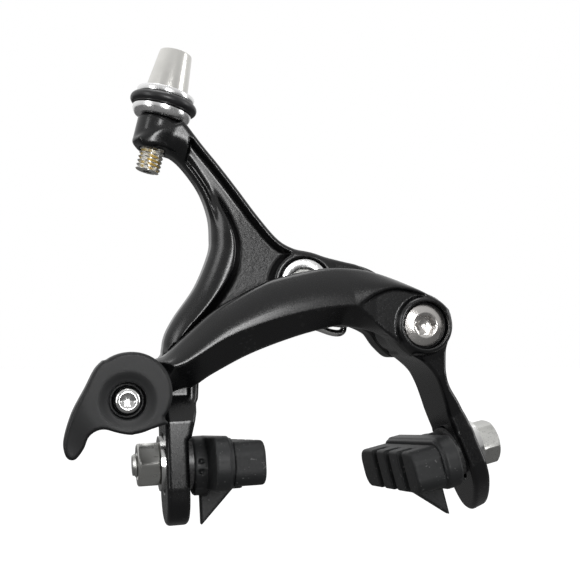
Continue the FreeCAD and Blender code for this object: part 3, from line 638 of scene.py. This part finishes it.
# ---- barrel adjuster ----------------------------------------------------------------------------------
def in_groove(radius):
    """1 at the bottom of the barrel's thread to 0 at its crest."""
    return max(0.0, min(1.0, (2.92 - radius) / 0.35)) if 2.3 < radius < 3.0 else 0.0


barrel = [(-0.6, 1.1), (-0.6, 2.2)] + thread(-0.55, 12.0, M6_R, taper=0.01, flat=((2.2, 0.14),))
barrel += [(12.0, 2.9), (19.7, 2.9), (19.75, 5.0), (19.95, 5.14), (20.3, 5.13), (29.4, 4.07), (29.8, 3.95),
           (30.0, 3.6), (30.0, 2.75), (29.8, 2.6), (22.0, 2.6), (22.0, 1.1)]
add("adjuster_barrel", rings("adjuster_barrel", barrel, ADJUSTER_FOOT, ADJUSTER_AXIS, 96, hollow=True,
                             across=(0, -1, 0), marks=in_groove),
    BARREL, "barrel", ["barrel_adjuster"])
add("adjuster_thumb_nut", rings("adjuster_thumb_nut", [(12.8, 3.04), (12.8, 6.2), (12.95, 6.45), (13.6, 6.95),
    (14.1, 7.15), (14.9, 7.2), (15.15, 7.05), (15.25, 6.7), (15.4, 5.7), (17.9, 5.6), (18.0, 6.7), (18.1, 7.0),
    (18.35, 7.12), (19.2, 7.1), (19.5, 6.95), (19.62, 6.6), (19.6, 5.6), (19.6, 3.04)],
    ADJUSTER_FOOT, ADJUSTER_AXIS, 128, hollow=True), ALLOY, "adjuster_nut", ["adjuster_nut"])
ring_path = [(16.6 + 1.3 * math.sin(a), 6.95 + 1.3 * math.cos(a))
             for a in (2 * math.pi * k / 24 for k in range(24))]
add("adjuster_ring_rubber", rings("adjuster_ring_rubber", ring_path, ADJUSTER_FOOT, ADJUSTER_AXIS, 128,
                                  hollow=True, crease=80), RING, "adjuster_nut", ["adjuster_grip_ring"])


# ---- quick release and cable anchor -------------------------------------------------------------------
LEVER_TAIL = [(-49.4, -18.8), (-51.2, -20.8), (-53.2, -24.8), (-56.0, -30.4), (-57.6, -36.4), (-57.0, -39.6),
              (-55.2, -40.2), (-53.4, -38.0), (-52.2, -35.2), (-49.8, -33.8), (-46.4, -34.2), (-43.0, -34.8)]


def lever(x, y, z):
    lx, lz = LEVER_AXIS
    plan = area(x, z, np.vstack([smooth_line(LEVER_TAIL), [(-42.0, -22.0)]]))
    plan = either(plan, disc(x, z, (lx + 0.8, lz + 1.7), 9.0), 0.6)
    heel = np.array([(-37.6, -30.0), (-35.0, -32.6), (-38.2, -33.6), (-42.0, -34.0)])
    plan = either(plan, area(x, z, heel), 0.4)
    r = disc(x, z, LEVER_AXIS, 0)
    away = disc(x, z, (lx + 0.8, lz + 1.7), 0)
    front = -36.6 + 0.55 * ease((6.8 - r) / 3.0) + 0.9 * ease((away - 9.5) / 9.0)
    body = both(plan, front - y, 0.8)
    body = both(body, y + 29.3, 0.35)
    body = less(body, both(r - 4.0, y + 34.6), 0.3)
    body = less(body, both(both(r - 4.0, 3.1 - r), y + 33.0))
    return less(body, r - 2.55)


add("lever_moulding", sculpt("lever_moulding", lever, (-60, -38, -43), (-33, -28, -15), step=STEP * 0.8),
    PLASTIC, "lever", ["release_lever"])
lx, lz = LEVER_AXIS
add("lever_screw_head", rings("lever_screw_head", [(-35.3, 0), (-35.3, 0.9), (-35.4, hexed(2.4)),
    (-36.3, hexed(2.5)), (-36.55, 1.7), (-36.6, 1.9), (-36.5, 2.3), (-36.2, 2.7), (-35.75, 2.95), (-35.2, 3.0),
    (-34.7, 3.0), (-34.6, 2.0), (-26.0, 2.0), (-26.0, 0)], (lx, 0, lz), REAR_Y, 96),
    BRIGHT, "lever", ["lever_screw"])
ax, az = lx - 1.5, lz - 2.2
add("cable_bolt_head", rings("cable_bolt_head", [(-25.0, 0), (-25.0, 2.5), (-16.2, 2.5), (-16.2, 3.9)]
    + [(-16.2 + d, hexed(8.0)) for d in (0.05, 3.3)] + [(-12.9 + d, hexed(8.0, limit=4.62 - d * 0.9))
    for d in (0.1, 0.2, 0.35, 0.5, 0.65)]
    + [(-12.2, 3.8), (-12.2, 2.2), (-12.4, 2.0), (-14.2, 2.0), (-14.2, 0)],
    (ax, 0, az), REAR_Y, 96), ZINC, "lever", ["cable_anchor_bolt"])


# ---- brake shoes -----------------------------------------------------------------------------------------
BOSS, BACKING, FACE = 3.2, 6.9, 14.9        # shoe's depths from the washer, along its own +X
START, END = -19.0, 25.0                      # shoe's ends along its own Y


def rounded_box(a, b, half_a, half_b, r):
    u, v = np.abs(a) - half_a + r, np.abs(b) - half_b + r
    return np.sqrt(np.maximum(u, 0) ** 2 + np.maximum(v, 0) ** 2) + np.minimum(np.maximum(u, v), 0) - r


def shoe_backing(x, y, z):
    middle = (START + END) / 2
    side = rounded_box(y - middle, z + 0.5, (END - START) / 2, 6.3, 5.6)
    plate = both(side, span(x, BOSS, BACKING), 0.5)
    boss = both(np.sqrt(y * y + (z + 1.1) ** 2) - 7.0, span(x, 0.0, BOSS + 0.6), 0.7)
    body = either(plate, boss, 0.8)
    edge = rounded_box(y - middle, z + 0.4, (END - START) / 2 - 0.6, 5.7, 5.0)
    lip = both(edge, span(x, BACKING - 0.4, 7.6), 0.3)
    body = either(body, lip, 0.2)
    fin = area(x, z, np.array([(2.1, -5.0), (2.1, -15.4), (12.6, -4.8)]))
    body = either(body, both(fin, span(y, 1.0, 4.0), 0.45), 0.5)
    rail = both(both(span(x, 8.0, 11.8), span(z, -7.0, -5.2), 0.4), span(y, -3.0, 1.6), 0.4)
    body = either(body, rail, 0.2)
    for hz in (0.2, -2.4):
        body = less(body, ball(x, y, z, (1.7, -6.85, hz), 0.62), 0.1)
    return less(body, both(np.sqrt(y * y + z * z) - 3.0, x - 3.0))


def shoe_pad(x, y, z):
    middle = (START + END) / 2
    bulge = 0.35 * (1 - ((z + 0.7) / 5.1) ** 2)
    side = rounded_box(y - middle, z + 0.7, (END - START) / 2 - 0.8, 5.1, 3.4)
    block = both(side, span(x, 7.2, FACE + bulge * 0.4 - 0.2), 0.7)
    for k in range(3):
        groove = both(np.abs(y - (START + 10.0 + 10.0 * k)) - 1.75, 10.8 - x, 0.5)
        block = less(block, groove, 0.35)
    return less(block, shoe_backing(x, y, z) - 0.02)


def shoe_place(stud, reach, tilt, pitch, mirror):
    """From a shoe's own frame to the caliper's, in millimetres."""
    sign = -1 if mirror else 1
    shift = sign * reach
    offset = Vector((stud[0] + shift * math.cos(tilt), LEG_MID_Y, stud[1] + shift * math.sin(tilt)))
    turn = Matrix.Rotation(-tilt, 4, "Y") @ Matrix.Rotation(math.radians(pitch), 4, "X")
    flip = Matrix.Diagonal((sign, 1, 1, 1))
    return Matrix.Translation(offset) @ turn @ flip


SHOES = {
    "left": (LEFT_STUD, LEFT_STRAP / 2 + 1.2, LEFT_TILT, -4.0, False, BRUSHED, 1.2 + LEFT_STRAP + 1.0, -6.0),
    "right": (RIGHT_STUD, RIGHT_STRAP / 2 + 2.4, STUD_TILT, -4.0, True, ZINC, 2.4 + RIGHT_STRAP + 1.3, 8.0),
}
for side, (stud, reach, tilt, pitch, mirror, nut_metal, outer, nut_turn) in SHOES.items():
    place = shoe_place(stud, reach, tilt, pitch, mirror)
    add(side + "_shoe_moulding", sculpt(side + "_shoe_moulding", shoe_backing, (-1, -21, -17), (14, 27, 8),
                                        rounds=3, step=STEP * 0.9, place=place),
        CARRIER, side + "_shoe", [side + "_shoe_backing"])
    add(side + "_pad_block", sculpt(side + "_pad_block", shoe_pad, (6, -21, -8), (16, 27, 6), rounds=3,
                                    step=STEP * 0.9, place=place),
        RUBBER, side + "_shoe", [side + "_brake_pad"])
    square = shoe_place(stud, reach, tilt, 0.0, mirror)
    origin = square.translation
    inward = (square.to_3x3() @ Vector((1, 0, 0))).normalized()
    add(side + "_stud_threaded", rings(side + "_stud_threaded", [(3.0, 0), (3.0, 2.9), (-1.0, 2.95)]
        + [(-s, helix) for s, helix in thread(1.0, outer + STUD_PAST, M6_R, taper=1.0)]
        + [(-outer - STUD_PAST, 0)], origin, inward, 64), ZINC, side + "_shoe", [side + "_shoe_stud"])
    upright = (square.to_3x3() @ Matrix.Rotation(math.radians(nut_turn), 3, "X")) @ Vector((0, 0, 1))
    chamfer = [(0.0, 4.72), (0.12, 4.9), (0.25, 5.12), (0.4, 5.34), (0.6, 5.56), (0.85, 5.7)]
    sections = [(-outer, 3.03), (-outer, 4.6)] + [(-outer - d, hexed(10.0, limit=c)) for d, c in chamfer]
    sections += [(-outer - NUT_LENGTH + d, hexed(10.0, limit=c)) for d, c in reversed(chamfer)]
    sections += [(-outer - NUT_LENGTH, 3.5), (-outer - NUT_LENGTH + 0.3, 3.03)]
    add(side + "_nut_hex", rings(side + "_nut_hex", sections, origin, inward, 96, hollow=True, across=upright,
                                 crease=22), nut_metal, side + "_hardware", [side + "_shoe_nut"])


# ---- CAD nodes that show: only their materials change ------------------------------------------------
KEPT = {"serrated_washer": ZINC, "centring_screw": BLACK_STEEL, "spring_block": PLASTIC,
        "side_pivot_bush": BRONZE, "centre_thrust_washer": BLACK_STEEL,
        "lock_nut_washer": BRIGHT, "centre_bush": BRONZE, "drive_pin": BRIGHT, "drive_roller": BRIGHT,
        "release_cam": BLACK_STEEL, "cable_clamp_washer": ZINC, "left_inner_washer": BLACK_STEEL,
        "left_outer_washer": BRIGHT, "right_inner_washer": BLACK_STEEL, "right_outer_washer": BRIGHT}
for name, material in KEPT.items():
    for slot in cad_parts[name].material_slots:
        slot.material = material


# ---- camera, floor and light --------------------------------------------------------------------------------
camera_data = bpy.data.cameras.new("camera")
camera_data.sensor_width = 36.0
camera_data.lens = 62.07
camera_data.clip_start = 0.01
camera = bpy.data.objects.new("camera", camera_data)
bpy.context.scene.collection.objects.link(camera)
right, up, ahead = (0.97118, -0.23833, 0.0), (-0.01664, -0.06782, 0.99756), (0.23775, 0.96881, 0.06983)
turn = Matrix((right, up, tuple(-c for c in ahead))).transposed().to_4x4()
camera.matrix_world = Matrix.Translation((-0.0620, -0.2573, -0.0187)) @ turn
bpy.context.scene.camera = camera


def plain(name, colour):
    """Matt material that glows; the node tree below sets how much."""
    material = bpy.data.materials.new(name)
    material.use_nodes = True
    shader = material.node_tree.nodes["Principled BSDF"]
    shader.inputs["Base Color"].default_value = (*colour, 1)
    shader.inputs["Roughness"].default_value = 0.9
    shader.inputs["Specular IOR Level"].default_value = 0.0
    shader.inputs["Emission Color"].default_value = (1, 1, 1, 1)
    return material


def sheet(name, centre, size, facing, material):
    """Flat square of the studio, not part of the object."""
    mesh = bpy.data.meshes.new(name)
    w, h = size[0] / 2, size[1] / 2
    mesh.from_pydata([(-w, -h, 0), (w, -h, 0), (w, h, 0), (-w, h, 0)], [], [(0, 1, 2, 3)])
    mesh.materials.append(material)
    obj = bpy.data.objects.new(name, mesh)
    bpy.context.scene.collection.objects.link(obj)
    obj.location = centre
    obj.rotation_euler = Vector(facing).to_track_quat("Z", "Y").to_euler()
    return obj


floor_paint = plain("pale_floor", (0.10, 0.10, 0.10))
tree = floor_paint.node_tree
lit = tree.nodes.new("ShaderNodeLightPath")
level = tree.nodes.new("ShaderNodeMapRange")
level.inputs["To Min"].default_value = 0.04
tree.links.new(lit.outputs["Is Camera Ray"], level.inputs["Value"])
tree.links.new(level.outputs["Result"], tree.nodes["Principled BSDF"].inputs["Emission Strength"])
sheet("floor", (0, 0, -0.16), (30, 30), (0, 0, 1), floor_paint)


def lamp(name, centre, size, power, aim=(0, -0.02, -0.01)):
    data = bpy.data.lights.new(name, "AREA")
    data.shape = "RECTANGLE"
    data.size, data.size_y = size
    data.energy = power
    obj = bpy.data.objects.new(name, data)
    bpy.context.scene.collection.objects.link(obj)
    obj.location = centre
    obj.rotation_euler = (Vector(centre) - Vector(aim)).to_track_quat("Z", "Y").to_euler()
    return obj


lamp("top_box", (-0.05, 0.0, 0.60), (0.3, 0.3), 1.0)
lamp("front_box", (0.0, -0.50, 0.06), (0.09, 0.24), 1.15)
lamp("left_box", (-0.60, -0.30, 0.10), (0.15, 0.5), 1.0)
lamp("right_box", (0.65, -0.20, 0.10), (0.15, 0.5), 1.2)

world = bpy.data.worlds.new("studio")
bpy.context.scene.world = world
world.use_nodes = True
nodes, links = world.node_tree.nodes, world.node_tree.links
nodes.clear()
output = nodes.new("ShaderNodeOutputWorld")
paths = nodes.new("ShaderNodeLightPath")
seen, felt = nodes.new("ShaderNodeBackground"), nodes.new("ShaderNodeBackground")
seen.inputs["Color"].default_value = (1, 1, 1, 1)
felt.inputs["Color"].default_value = (1, 1, 1, 1)
seen.inputs["Strength"].default_value = 1.0
direction = nodes.new("ShaderNodeTexCoord")
parts = nodes.new("ShaderNodeSeparateXYZ")
links.new(direction.outputs["Generated"], parts.inputs[0])
levels = []
for part, low_level, high_level in (("Z", 0.14, 1.15), ("Y", 0.6, 1.1)):
    level = nodes.new("ShaderNodeMapRange")
    level.inputs["From Min"].default_value = -1.0
    level.inputs["To Min"].default_value = low_level
    level.inputs["To Max"].default_value = high_level
    links.new(parts.outputs[part], level.inputs["Value"])
    levels.append(level.outputs["Result"])
product = nodes.new("ShaderNodeMath")
product.operation = "MULTIPLY"
links.new(levels[0], product.inputs[0])
links.new(levels[1], product.inputs[1])
links.new(product.outputs[0], felt.inputs["Strength"])
choose = nodes.new("ShaderNodeMixShader")
links.new(paths.outputs["Is Camera Ray"], choose.inputs[0])
links.new(felt.outputs[0], choose.inputs[1])
links.new(seen.outputs[0], choose.inputs[2])
links.new(choose.outputs[0], output.inputs["Surface"])
bpy.context.scene.view_settings.view_transform = "Standard"
